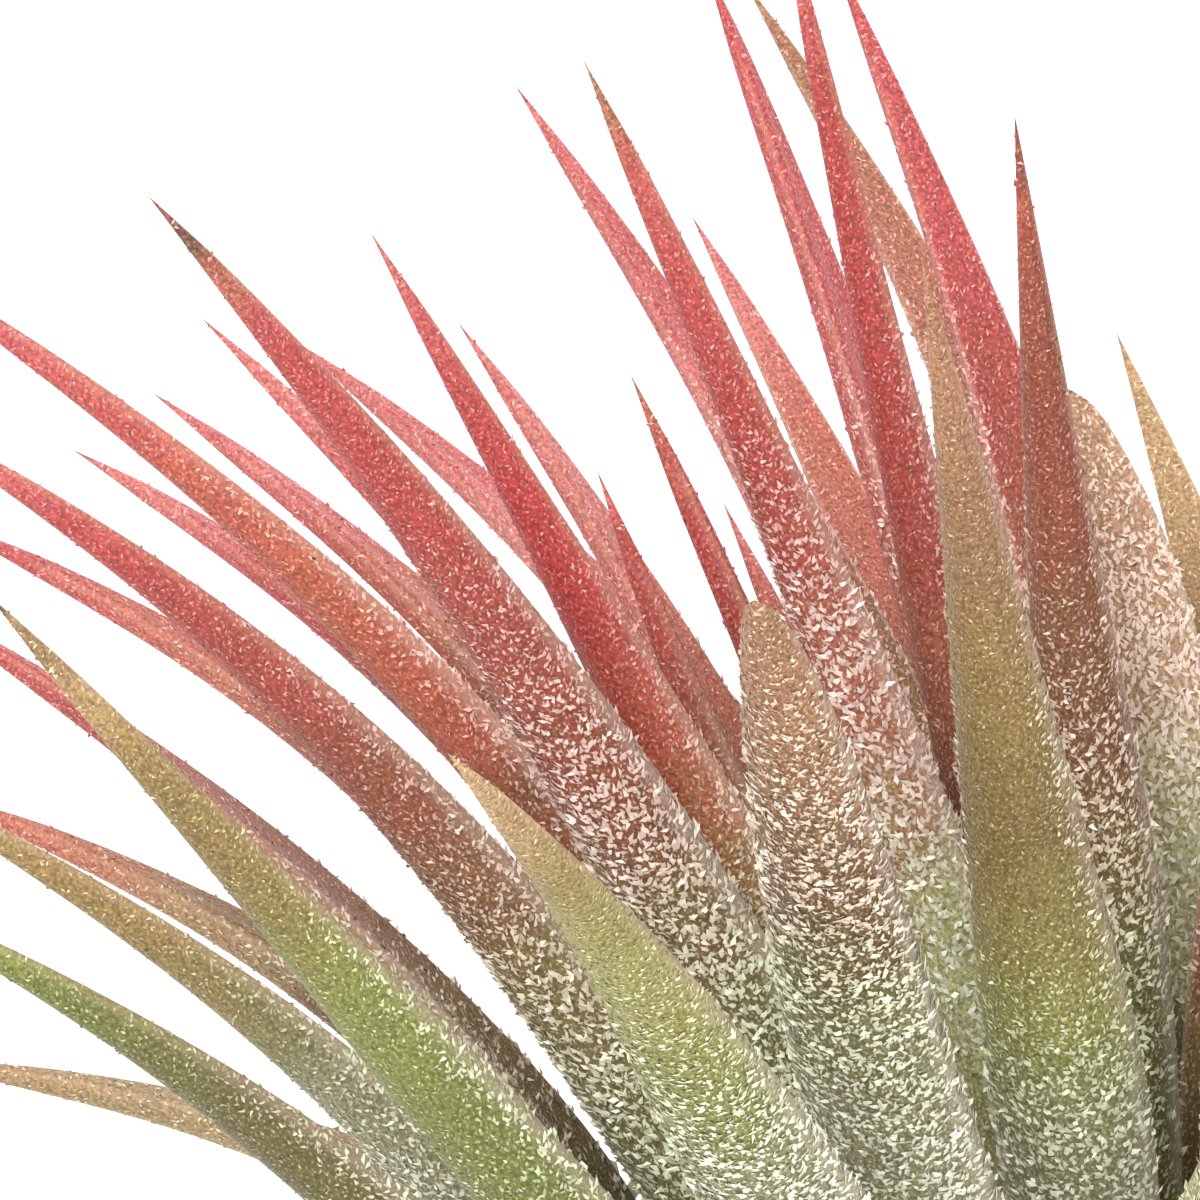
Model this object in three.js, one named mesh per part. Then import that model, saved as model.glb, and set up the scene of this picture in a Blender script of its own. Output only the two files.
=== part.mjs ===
import * as THREE from 'three';

// A sky plant (Tillandsia ionantha) as picked: a rosette of tapering, channelled leaves whose broad
// sheaths nest into a small bulb round one short stem. Millimetres, +Z up. The origin is the middle
// of the stem's flat cut end, which rests on the surface, and the photograph looks along +Y.

// Bulb
const BULB_HEIGHT = 15.8; // height of the point that every sheath wraps round
const SEAT_ANGLES = [54, 66]; // where the inner and outer sheaths start, degrees below the waist
const CORE_RADIUS = 1.6; // the innermost leaves stand this far from the axis
const OUTER_RADIUS = 15.2; // the outermost leaves stand at least this far out
const NESTING_LEANS = [10, 75]; // the leans of the innermost and the outermost
const SHEATH_THICKNESS = 0.66;
const GAP = 0.3; // between neighbouring leaves, and between a leaf and the stem
const STEM_GAP = 0.42; // from the middle of a sheath's foot to the stem
const CLEARANCE = 0.3; // the least that bending a blade clear leaves between two leaves
const SHEATH_HALF_ANGLES = [11, 17]; // half of a sheath, seen along the axis: upright, low leaves
const SHEATH_LEANS = [40, 65]; // the leans between which one becomes the other
const BROAD_SHEATH_HALF_ANGLE = 15; // the same for the broad leaves at the front of the photograph

// Leaf
const TAPER_POWER = 0.94; // a little under 1, so that a blade's sides bulge slightly
const BLUNT_TAPER_POWER = 0.42; // the same for a leaf that has lost its tip
const BLADE_THICKNESS = 1.75; // at its thickest, a third of the way up
const TIP_THICKNESS = 0.62;
const CHANNEL = 0.92; // half width over the radius that the blade is rolled to
const TIP_LENGTH = 3.6; // the last cone, beyond the last ring
const SHEATH_RINGS = 3;
const BLADE_RINGS = 9;
const BLUNT_TIP_LENGTH = 0.8; // the last cone of a leaf that has lost its tip
const SHEATH_WIDTH = 0.94; // a whole sheath's width over the width of its blade's foot
const BEND_PLACE = 0.47; // where along most blades the lean changes most
const LEAVE_SHARES = [0.8, 0.38]; // of its lean that a blade has at the bulb: upright, low leaves
const LEAVE_LEANS = [15, 60];
// How much of a blade, from its foot, each change takes: twisting, thickening, rolling into a
// channel, and how much of it, from the tip, slims.
const TWIST_SHARE = 0.6;
const SWELL_SHARE = 0.35;
const ROLL_SHARE = 0.3;
const SLIM_SHARE = 0.7;
const SWAY_SHARE = 1.2; // over 1, as a swaying leaf still sways at its tip
const LEAST_RISE = 0.2; // keeps the roll of a level sheath within bounds

// Photograph
const VIEW_ELEVATION = 6; // degrees that the camera looks down by

// Seed of every random draw
const SEED = 20261125;

const GOLDEN_ANGLE = 180 * (3 - Math.sqrt(5));
const radians = THREE.MathUtils.degToRad;
const { clamp, lerp, smoothstep } = THREE.MathUtils;

function seededRandom(seed) {
  let state = seed;
  return () => {
    state = (state + 0x6d2b79f5) | 0;
    let mixed = Math.imul(state ^ (state >>> 15), 1 | state);
    mixed = (mixed + Math.imul(mixed ^ (mixed >>> 7), 61 | mixed)) ^ mixed;
    return ((mixed ^ (mixed >>> 14)) >>> 0) / 4294967296;
  };
}

const random = seededRandom(SEED);
const vary = (amount) => (random() * 2 - 1) * amount;

// Leaves that the photograph shows. across and up are measured in its plane, from the axis and from
// the surface, and depth is judged from blur, away from the camera. base is the width that the
// blade would have at its foot, turn the degrees by which its back twists to the camera, leave the
// degrees that it leans where it leaves the bulb, bend its own place for BEND_PLACE, sway the
// degrees round the axis from the tip to the foot, sheath half its sheath's angle and blunt half its
// width where the tip is lost.
const BROAD = BROAD_SHEATH_HALF_ANGLE;
const photoLeaves = [
  { across: -31.3, up: 53.4, depth: -11, base: 8.6, turn: 30, leave: 21, sway: -6, bend: 0.51, sheath: BROAD },
  { across: -24.8, up: 52.4, depth: -7, base: 7.4, turn: 30, leave: 23, sway: -2 },
  { across: -18.5, up: 57.5, depth: -11, base: 7.6, turn: 15, leave: 15, sway: -3, sheath: BROAD },
  { across: -12.5, up: 61.9, depth: -4, base: 6.2, turn: 25, leave: 13 },
  { across: -5.8, up: 55.8, depth: -17, base: 7.6, turn: 5, leave: 20, sway: -2, sheath: BROAD },
  { across: -39.3, up: 51.8, depth: -2, base: 7.2, turn: 30, leave: 12 },
  { across: -38.8, up: 47.0, depth: -9, base: 8.2, turn: 30, leave: 20, sway: -6, bend: 0.56, sheath: BROAD },
  { across: -36.0, up: 41.7, depth: -21, base: 9.0, turn: 20, leave: 39, sway: 3, sheath: BROAD },
  { across: -13.5, up: 41.5, depth: -30, base: 8.6, turn: 0, leave: 29, sway: -11, sheath: BROAD, blunt: 0.9 },
  { across: -22.4, up: 37.1, depth: -36, base: 10.8, turn: 0, leave: 30, sway: -6, sheath: BROAD },
  { across: -8.6, up: 51.4, depth: -27, base: 9.0, turn: 0, leave: 20, sway: -5, sheath: BROAD },
  { across: -17.1, up: 48.3, depth: 5, base: 6.2, turn: 20, leave: 18 },
  { across: -18.1, up: 45.4, depth: -1, base: 6.0, turn: 20, leave: 24 },
  { across: -14.3, up: 44.5, depth: 13, base: 5.6, turn: 0, leave: 16, sway: -2 },
  { across: -20.6, up: 57.2, depth: 19, base: 7.4, turn: 0, leave: 7, sway: -14 },
  { across: -15.2, up: 53.3, depth: 22, base: 7.4, turn: 0, leave: 14, sway: -6 },
  { across: -14.9, up: 60.8, depth: 5, base: 7.6, turn: 0, leave: 11 },
  { across: -13.6, up: 60.5, depth: 24, base: 7.4, turn: 0, leave: 7, sway: -14 },
  { across: -11.0, up: 61.1, depth: 14, base: 7.8, turn: 0, leave: 7, sway: -16 },
  { across: -3.8, up: 47.9, depth: 14, base: 8.4, turn: 0, leave: 7, sway: -12, blunt: 0.8 },
  { across: -2.2, up: 49.7, depth: 27, base: 7.8, turn: 0, leave: 15, sway: -22 },
  { across: -30.0, up: 50.0, depth: 4, base: 6.6, turn: 20, leave: 12 },
  { across: -31.6, up: 47.8, depth: 14, base: 7.4, turn: 0, leave: 10, sway: -3 },
  { across: -27.3, up: 49.4, depth: 28, base: 8.8, turn: 0, leave: 8, sway: -12, bend: 0.52 },
  { across: -22.3, up: 49.9, depth: 15, base: 7.0, turn: 0, leave: 10, sway: -9, bend: 0.52 },
  { across: -38.2, up: 44.0, depth: 21, base: 7.4, turn: 0, leave: 9, sway: -8, bend: 0.53 },
  { across: -38.6, up: 41.5, depth: 8, base: 8.8, turn: 0, leave: 18, sway: 2 },
  { across: -39.3, up: 36.2, depth: -1, base: 8.2, turn: 20, leave: 22 },
  { across: -39.7, up: 32.9, depth: -10, base: 8.0, turn: 20, leave: 26 },
  { across: -39.0, up: 27.6, depth: 14, base: 8.0, turn: 0, leave: 14, sway: -10 },
  { across: 6.0, up: 34.0, depth: -32, base: 8.6, turn: 0, sway: -12, sheath: BROAD },
  { across: 3.0, up: 42.5, depth: -19, base: 8.0, turn: 0 },
  { across: -34.1, up: 46.1, depth: 24, base: 7.0, turn: 0, leave: 13, sway: -8, bend: 0.51 },
  { across: -38.5, up: 35.8, depth: 13, base: 7.6, turn: 0, leave: 16, sway: -5, bend: 0.5 },
];

// A photographed leaf's tip, as degrees round the axis, distance from it and height
function tipFromPhoto({ across, up, depth }) {
  const elevation = radians(VIEW_ELEVATION);
  return {
    azimuth: THREE.MathUtils.radToDeg(Math.atan2(depth, across)),
    reach: Math.hypot(across, depth),
    height: (up - depth * Math.sin(elevation)) / Math.cos(elevation),
  };
}

// Leaves on the side that the photograph leaves out: the golden angle from each to the next, each
// one leaning further than the last.
const HIDDEN_SIDE_LEAVES = 16;
const HIDDEN_SIDE = [-68, 92]; // where that side begins and ends round the axis, in degrees
const HIDDEN_SIDE_LEANS = [13, 66];
const HIDDEN_SIDE_LENGTHS = [47, 49];
const HIDDEN_SIDE_BASES = [7.6, 8.8];
const HIDDEN_SIDE_VARIES = { azimuth: 2, lean: 2, length: 3, base: 0.4, turn: 12 };
function hiddenSideLeaves() {
  const leaves = [];
  for (let step = 0; leaves.length < HIDDEN_SIDE_LEAVES; step += 1) {
    const azimuth = THREE.MathUtils.euclideanModulo(step * GOLDEN_ANGLE + 180, 360) - 180;
    if (azimuth > HIDDEN_SIDE[0] && azimuth < HIDDEN_SIDE[1]) {
      const age = leaves.length / (HIDDEN_SIDE_LEAVES - 1);
      const lean = radians(lerp(...HIDDEN_SIDE_LEANS, age) + vary(HIDDEN_SIDE_VARIES.lean));
      const length = lerp(...HIDDEN_SIDE_LENGTHS, age) + vary(HIDDEN_SIDE_VARIES.length);
      leaves.push({
        azimuth: azimuth + vary(HIDDEN_SIDE_VARIES.azimuth),
        reach: length * Math.sin(lean),
        height: BULB_HEIGHT + length * Math.cos(lean),
        base: lerp(...HIDDEN_SIDE_BASES, age) + vary(HIDDEN_SIDE_VARIES.base),
        turn: vary(HIDDEN_SIDE_VARIES.turn),
      });
    }
  }
  return leaves;
}

// The youngest leaves, in the heart of the rosette, with sheaths that together close it
const HEART_AZIMUTHS = [-55, 65, 185];
const HEART = { reach: 5.5, height: 49, base: 6, sheath: 38 };
const HEART_VARIES = { azimuth: 6, reach: 1, height: 4, base: 0.4, turn: 15 };
function heartLeaves() {
  return HEART_AZIMUTHS.map((azimuth) => ({
    azimuth: azimuth + vary(HEART_VARIES.azimuth),
    reach: HEART.reach + vary(HEART_VARIES.reach),
    height: HEART.height + vary(HEART_VARIES.height),
    base: HEART.base + vary(HEART_VARIES.base),
    turn: vary(HEART_VARIES.turn),
    sheath: HEART.sheath,
  }));
}

// The oldest leaves, lowest on the stem, which arch over until their tips are near the surface
const OLDEST_AZIMUTHS = [-66, -18, 32, 80, 124, 252];
const OLDEST = { reach: 42, height: 1, base: 8.4, sheath: 25 };
const OLDEST_VARIES = { azimuth: 4, reach: 3, height: 0.5, base: 0.4, turn: 15 };
function oldestLeaves() {
  return OLDEST_AZIMUTHS.map((azimuth) => ({
    azimuth: azimuth + vary(OLDEST_VARIES.azimuth),
    sheath: OLDEST.sheath,
    reach: OLDEST.reach + vary(OLDEST_VARIES.reach),
    height: OLDEST.height + vary(OLDEST_VARIES.height),
    base: OLDEST.base + vary(OLDEST_VARIES.base),
    turn: vary(OLDEST_VARIES.turn),
  }));
}

// Angle from upright of the straight line from the bulb to the tip, in degrees
function leanOf({ reach, height }) {
  return THREE.MathUtils.radToDeg(Math.atan2(reach, height - BULB_HEIGHT));
}

// Lean of the blade where it leaves the bulb. Upright blades are nearly straight, and the further
// one leans, the more of its lean it gains on the way to its tip.
function leanAtBulb(leaf) {
  const lean = leanOf(leaf);
  return leaf.leave ?? lean * lerp(...LEAVE_SHARES, smoothstep(lean, ...LEAVE_LEANS));
}

function footAzimuth(leaf) {
  return leaf.azimuth + (leaf.sway ?? 0);
}

function footAngleBetween(a, b) {
  const turn = footAzimuth(a) - footAzimuth(b);
  return Math.abs(THREE.MathUtils.euclideanModulo(turn + 180, 360) - 180);
}

// Half of a leaf's sheath, seen along the axis, in degrees
function sheathAngle(leaf, radius) {
  const widest = Math.asin(Math.min(1, (leaf.base * SHEATH_WIDTH) / 2 / radius));
  const usual = lerp(...SHEATH_HALF_ANGLES, smoothstep(leanOf(leaf), ...SHEATH_LEANS));
  return Math.min(leaf.sheath ?? usual, THREE.MathUtils.radToDeg(widest));
}

// A sheath lies on the outermost of those further in that it covers, and no further in than its
// lean asks for.
function nestedRadius(leaf, placed) {
  let radius = lerp(CORE_RADIUS, OUTER_RADIUS, smoothstep(leanOf(leaf), ...NESTING_LEANS));
  for (const inner of placed) {
    const sideGap = THREE.MathUtils.radToDeg(GAP / radius);
    const reach = sheathAngle(leaf, radius) + sheathAngle(inner, inner.radius) + sideGap;
    if (footAngleBetween(leaf, inner) < reach) {
      radius = Math.max(radius, inner.radius + SHEATH_THICKNESS + GAP);
    }
  }
  return radius;
}

// How far below the bulb's waist a sheath of this radius starts, in radians
function seatAngle(radius) {
  return radians(lerp(...SEAT_ANGLES, smoothstep(radius, CORE_RADIUS, OUTER_RADIUS)));
}

// Point of the bulb in an upright plane: distance from the axis, height
function onBulb(radius, angle) {
  return new THREE.Vector2(
    radius * Math.cos(angle),
    BULB_HEIGHT + radius * Math.sin(angle),
  );
}

// Middle line of a leaf in its upright plane, as points (distance from the axis, height), with how
// far each lies along the blade: 0 or less on the sheath, 1 at the tip.
function middleLine(leaf) {
  const leave = radians(leanAtBulb(leaf));
  const start = onBulb(leaf.radius, -leave);
  const tip = new THREE.Vector2(leaf.reach, leaf.height);
  const span = start.distanceTo(tip);
  const control = new THREE.Vector2(Math.sin(leave), Math.cos(leave))
    .multiplyScalar(span * (leaf.bend ?? BEND_PLACE))
    .add(start);
  const blade = new THREE.QuadraticBezierCurve(start, control, tip);
  const points = [];
  for (let ring = 0; ring < SHEATH_RINGS; ring += 1) {
    const part = ring / SHEATH_RINGS;
    const angle = lerp(-seatAngle(leaf.radius), -leave, part);
    points.push({ at: onBulb(leaf.radius, angle), along: part - 1 });
  }
  const length = blade.getLength();
  const last = 1 - (leaf.blunt ? BLUNT_TIP_LENGTH : TIP_LENGTH) / length;
  for (let ring = 0; ring < BLADE_RINGS; ring += 1) {
    const along = last * (ring / (BLADE_RINGS - 1));
    points.push({ at: blade.getPointAt(along), along });
  }
  points.push({ at: tip, along: 1 });
  return points;
}

// Places from margin to margin, as shares of half the width: over the rounded back, back through
// the channel, and across the middle of the thickness.
const BACK = [-1, -0.6, 0, 0.6, 1];
const CHANNEL_SIDE = [0.62, 0, -0.62];
const MIDDLE = [-1, -0.82, -0.6, -0.3, 0, 0.3, 0.6, 0.82, 1];

// A leaf's thickness is greatest in the middle and nothing at the margins.
const swellAt = (share) => Math.sqrt(1 - share * share);

// Point of a cross-section as (sideways, outwards) from the middle line
function rolled(share, halfWidth, roll, outwards = 0) {
  const angle = (share * halfWidth) / roll;
  return [roll * Math.sin(angle), outwards - roll * (1 - Math.cos(angle))];
}

function crossSection(halfWidth, thickness, roll) {
  const half = thickness / 2;
  return [
    ...BACK.map((share) => rolled(share, halfWidth, roll, half * swellAt(share))),
    ...CHANNEL_SIDE.map((share) => rolled(share, halfWidth, roll, -half * swellAt(share))),
  ];
}

// The flat foot joins the back's points 0 to 4 to the channel's points 5 to 7.
const FOOT_FACES = [[0, 7, 1], [1, 7, 2], [2, 7, 6], [2, 6, 3], [3, 6, 5], [3, 5, 4]];

// Cross-sections of a leaf from its foot to its last ring, and its tip
function leafRings(leaf) {
  const points = middleLine(leaf);
  const swayAt = (along) => 1 - smoothstep(along, 0, SWAY_SHARE) / smoothstep(1, 0, SWAY_SHARE);
  const azimuthAt = (along) => radians(leaf.azimuth + (leaf.sway ?? 0) * swayAt(along));
  const outwardsAt = (along) => {
    const azimuth = azimuthAt(along);
    return new THREE.Vector3(Math.cos(azimuth), Math.sin(azimuth), 0);
  };
  const place = ({ x, y }, along) => outwardsAt(along).multiplyScalar(x).setZ(y);
  const middles = points.map((point) => place(point.at, point.along));
  const seat = seatAngle(leaf.radius);
  const rings = [];
  for (let index = 0; index < points.length - 1; index += 1) {
    const { at, along } = points[index];
    const before = points[Math.max(0, index - 1)].at;
    const after = points[index + 1].at;
    const direction = index === 0
      ? new THREE.Vector2(Math.sin(seat), Math.cos(seat))
      : after.clone().sub(before).normalize();
    const twist = radians(leaf.turn) * smoothstep(along, 0, TWIST_SHARE);
    const upright = place({ x: direction.x, y: direction.y }, along);
    const tangent = leaf.sway && index > 0
      ? middles[index + 1].clone().sub(middles[index - 1]).normalize()
      : upright;
    const back = place({ x: direction.y, y: -direction.x }, along);
    back.addScaledVector(tangent, -back.dot(tangent)).normalize();
    const side = tangent.clone().cross(back);
    back.applyAxisAngle(tangent, twist);
    side.applyAxisAngle(tangent, twist);
    const toTip = clamp(1 - along, 0, 1);
    const wide = (leaf.base / 2) * toTip ** (leaf.blunt ? BLUNT_TAPER_POWER : TAPER_POWER);
    const room = at.x * Math.sin(radians(sheathAngle(leaf, leaf.radius)));
    const thick = along < 0
      ? SHEATH_THICKNESS
      : lerp(SHEATH_THICKNESS, BLADE_THICKNESS, smoothstep(along, 0, SWELL_SHARE));
    const slim = lerp(TIP_THICKNESS, thick, smoothstep(toTip, 0, SLIM_SHARE));
    const halfWidth = Math.max(Math.min(wide, room), leaf.blunt ?? TIP_THICKNESS / 2);
    const wrap = at.x / Math.max(LEAST_RISE, direction.y);
    const roll = lerp(wrap, halfWidth / CHANNEL, smoothstep(along, 0, ROLL_SHARE));
    const onSection = ([sideways, out]) => middles[index]
      .clone()
      .addScaledVector(side, sideways)
      .addScaledVector(back, out);
    rings.push({
      outline: crossSection(halfWidth, slim, roll).map(onSection),
      middle: MIDDLE.map((share) => onSection(rolled(share, halfWidth, roll))),
      halfThickness: slim / 2,
    });
  }
  return { rings, tip: middles[middles.length - 1] };
}

// One closed leaf: rings of the cross-section joined foot to tip, closed flat at the foot and
// drawn to a point at the tip.
function leafGeometry(leaf) {
  const { rings, tip } = leafRings(leaf);
  const around = rings[0].outline.length;
  const vertices = [...rings.flatMap((ring) => ring.outline), tip];
  const tipIndex = vertices.length - 1;
  const faces = [];
  for (let ring = 0; ring < rings.length - 1; ring += 1) {
    for (let side = 0; side < around; side += 1) {
      const next = (side + 1) % around;
      const [a, b] = [ring * around + side, ring * around + next];
      const [c, d] = [b + around, a + around];
      faces.push([a, b, c], [a, c, d]);
    }
  }
  const top = (rings.length - 1) * around;
  for (let side = 0; side < around; side += 1) {
    faces.push([top + side, top + ((side + 1) % around), tipIndex]);
  }
  faces.push(...FOOT_FACES);
  const geometry = new THREE.BufferGeometry();
  geometry.setAttribute('position', new THREE.Float32BufferAttribute(
    vertices.flatMap((vertex) => vertex.toArray()),
    3,
  ));
  geometry.setIndex(faces.flat());
  geometry.computeVertexNormals();
  return geometry;
}

// Points over the middle of a leaf's thickness, each with half the thickness there
const STEPS_BETWEEN_RINGS = 4;
function clearancePoints(leaf) {
  const { rings, tip } = leafRings(leaf);
  const points = [];
  for (let index = 0; index < rings.length; index += 1) {
    const next = rings[index + 1];
    for (let step = 0; step < STEPS_BETWEEN_RINGS; step += 1) {
      const part = step / STEPS_BETWEEN_RINGS;
      MIDDLE.forEach((share, place) => {
        const end = next ? next.middle[place] : tip;
        const half = lerp(rings[index].halfThickness, next ? next.halfThickness : 0, part);
        points.push({
          at: rings[index].middle[place].clone().lerp(end, part),
          half: half * swellAt(share),
        });
      });
    }
  }
  return points;
}

function isClear(points, others) {
  return points.every(({ at, half }) => others.every((other) => {
    const apart = half + other.half + CLEARANCE;
    return at.distanceToSquared(other.at) > apart * apart;
  }));
}

// Small changes that bend a leaf clear of those further in, the smallest first. A leaf that the
// photograph shows keeps its tip's place in the picture: its depth changes, in millimetres, and how
// much it sways and leans at the bulb, in degrees. Any other leaf turns round the axis or leans.
const DEPTH_CHANGES = [0, 2, -2, 4, -4, 6, -6, 8, -8, 10, -10];
const SWAY_CHANGES = [0, 3, -3, 6, -6, 9, -9, 12, -12];
const LEAVE_CHANGES = [0, 2, -2, 4, -4, 6, -6];
const PHOTO_BENDS = DEPTH_CHANGES
  .flatMap((depth) => SWAY_CHANGES.map((sway) => ({ depth, sway })))
  .flatMap((change) => LEAVE_CHANGES.map((leave) => ({ ...change, leave })))
  .map((change) => ({ ...change, size: bendSize(change.depth, change.sway, 2 * change.leave) }))
  .sort((a, b) => a.size - b.size);
const LOWEST_TIP = 0.5;
const TURNS = [0, 1.5, -1.5, 3, -3, 4.5, -4.5, 6, -6, 8, -8];
const LEANS = [0, 1, 2, 3, 4.5, 6, 8];
const BENDS = TURNS
  .flatMap((turn) => LEANS.map((lean) => ({ turn, lean, size: bendSize(turn, 2 * lean) })))
  .sort((a, b) => a.size - b.size);

function bendSize(...changes) {
  return changes.reduce((total, change) => total + Math.abs(change), 0);
}

function bentInPhoto(leaf, { depth, sway, leave }) {
  const moved = { ...leaf, depth: leaf.depth + depth };
  return {
    ...moved,
    ...tipFromPhoto(moved),
    sway: (leaf.sway ?? 0) + sway,
    leave: Math.max(0, leanAtBulb(leaf) + leave),
  };
}

function bentRound(leaf, { turn, lean }) {
  const newLean = radians(leanOf(leaf) + lean);
  const length = Math.hypot(leaf.reach, leaf.height - BULB_HEIGHT);
  return {
    ...leaf,
    azimuth: leaf.azimuth + turn,
    reach: length * Math.sin(newLean),
    height: Math.max(LOWEST_TIP, BULB_HEIGHT + length * Math.cos(newLean)),
  };
}

function bendsOf(leaf) {
  return leaf.depth === undefined
    ? BENDS.map((change) => bentRound(leaf, change))
    : PHOTO_BENDS.map((change) => bentInPhoto(leaf, change));
}

// The leaf nested on those already placed, with what tells whether it is clear of them
const BOX_MARGIN = 1;
function nested(leaf, placed) {
  const radius = nestedRadius(leaf, placed);
  const points = clearancePoints({ ...leaf, radius });
  const box = new THREE.Box3().setFromPoints(points.map(({ at }) => at));
  return { ...leaf, radius, points, box: box.expandByScalar(BOX_MARGIN) };
}

function isClearOfAll(leaf, placed) {
  const within = (points, box) => points.filter(({ at }) => box.containsPoint(at));
  return placed.every((other) => (
    isClear(within(leaf.points, other.box), within(other.points, leaf.box))
  ));
}

// Leaves are placed from the most upright outwards, each one nested on those before it and bent
// by the smallest change that keeps it clear of them.
function placeLeaves(leaves) {
  const placed = [];
  const order = leaves.map((leaf, index) => ({ ...leaf, index }));
  order.sort((a, b) => leanOf(a) - leanOf(b));
  for (const leaf of order) {
    const clear = bendsOf(leaf).find((bend) => isClearOfAll(nested(bend, placed), placed));
    placed.push(nested(clear, placed));
  }
  return placed.sort((a, b) => a.index - b.index);
}

// Upright leaves are flushed red, and those that lean stay green.
const RED = 0xc4505a;
const GREEN = 0x8a9a55;
const GREENING_LEANS = [30, 62];
function leafColour(leaf) {
  const share = smoothstep(leanOf(leaf), ...GREENING_LEANS);
  return new THREE.Color(RED).lerp(new THREE.Color(GREEN), share);
}

function leafMesh(leaf) {
  const material = new THREE.MeshStandardMaterial({
    color: leafColour(leaf),
    roughness: 0.85,
    metalness: 0,
  });
  const mesh = new THREE.Mesh(leafGeometry(leaf), material);
  mesh.name = `leaf_${String(leaf.index + 1).padStart(2, '0')}`;
  return mesh;
}

// The stem is a short spindle whose flank keeps clear of every sheath's foot. It narrows again
// to its flat cut end.
const STEM_SIDES = 24;
const STEM_STEPS = 8;
const STEM_CUT_RADIUS = 4.6;
const STEM_OUTER_RADIUS = OUTER_RADIUS + 1.2; // of the sheaths that sit lowest on it
const STEM_POINT_RISE = 0.5;
function stemMesh() {
  const flank = [];
  for (let step = 0; step <= STEM_STEPS; step += 1) {
    const radius = lerp(STEM_OUTER_RADIUS, CORE_RADIUS, step / STEM_STEPS);
    const seat = seatAngle(radius);
    const offset = new THREE.Vector2(Math.sin(seat), Math.cos(seat)).multiplyScalar(-STEM_GAP);
    flank.push(onBulb(radius, -seat).add(offset));
  }
  const profile = [
    new THREE.Vector2(0, 0),
    new THREE.Vector2(STEM_CUT_RADIUS, 0),
    ...flank,
    new THREE.Vector2(0, flank[STEM_STEPS].y + STEM_POINT_RISE),
  ];
  const geometry = new THREE.LatheGeometry(profile, STEM_SIDES);
  geometry.rotateX(Math.PI / 2);
  const material = new THREE.MeshStandardMaterial({ color: 0x6b5236, roughness: 0.95, metalness: 0 });
  const mesh = new THREE.Mesh(geometry, material);
  mesh.name = 'stem';
  return mesh;
}

const leaves = [
  ...photoLeaves.map((leaf) => ({ ...leaf, ...tipFromPhoto(leaf) })),
  ...hiddenSideLeaves(),
  ...heartLeaves(),
  ...oldestLeaves(),
];

const plant = new THREE.Group();
plant.add(stemMesh());
plant.add(...placeLeaves(leaves).map(leafMesh));

export default plant;
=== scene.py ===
import math

import bmesh
import bpy
import numpy as np
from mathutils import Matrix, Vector, noise
from mathutils.bvhtree import BVHTree


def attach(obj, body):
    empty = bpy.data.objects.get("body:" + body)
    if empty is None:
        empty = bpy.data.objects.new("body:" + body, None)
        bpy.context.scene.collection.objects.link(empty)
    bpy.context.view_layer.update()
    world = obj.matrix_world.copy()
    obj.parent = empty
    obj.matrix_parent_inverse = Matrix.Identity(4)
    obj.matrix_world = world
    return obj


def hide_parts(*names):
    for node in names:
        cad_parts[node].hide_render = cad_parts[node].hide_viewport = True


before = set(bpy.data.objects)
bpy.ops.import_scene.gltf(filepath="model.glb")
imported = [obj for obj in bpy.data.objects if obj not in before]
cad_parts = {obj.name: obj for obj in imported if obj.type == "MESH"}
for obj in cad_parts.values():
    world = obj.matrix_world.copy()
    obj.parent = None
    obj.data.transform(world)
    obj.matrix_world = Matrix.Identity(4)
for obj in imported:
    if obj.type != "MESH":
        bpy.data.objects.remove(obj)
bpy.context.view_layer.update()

# The leaves: tapering blades of living tissue, rolled into a channel, each growing from a broad
# sheath that wraps the ones further in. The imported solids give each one's form, as rings of eight
# points, and every leaf is made again from them with a smooth skin.
MM = 0.001
TOUCHING = 0.001 * MM  # points closer than this are one point
AROUND = 8  # points in a ring
HALF = AROUND // 2  # from one margin to the other
BLADE_RINGS = slice(2, 8)  # down from the tip, where a leaf is plainly wider than it is thick
BACK_ACROSS = (-1, -0.6, 0, 0.6, 1)  # where a ring's points lie between the margins at -1 and 1
CHANNEL_ACROSS = (0.62, 0, -0.62)
SMOOTH_LEVELS = 2


def ring_below(ring, seen):
    """The next ring towards the foot, in the same order round the leaf as this one."""
    lower = []
    for place, vert in enumerate(ring):
        beside = ring[(place + 1) % AROUND]
        joined = {edge.other_vert(vert) for edge in vert.link_edges}
        joined &= {edge.other_vert(beside) for edge in beside.link_edges}
        lower.append(next(v for v in joined if v not in seen))
    straight = sum((a.co - b.co).length for a, b in zip(ring, lower))
    crossed = sum((a.co - b.co).length for a, b in zip(ring[1:] + ring[:1], lower))
    return lower if straight < crossed else lower[-1:] + lower[:-1]


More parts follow.
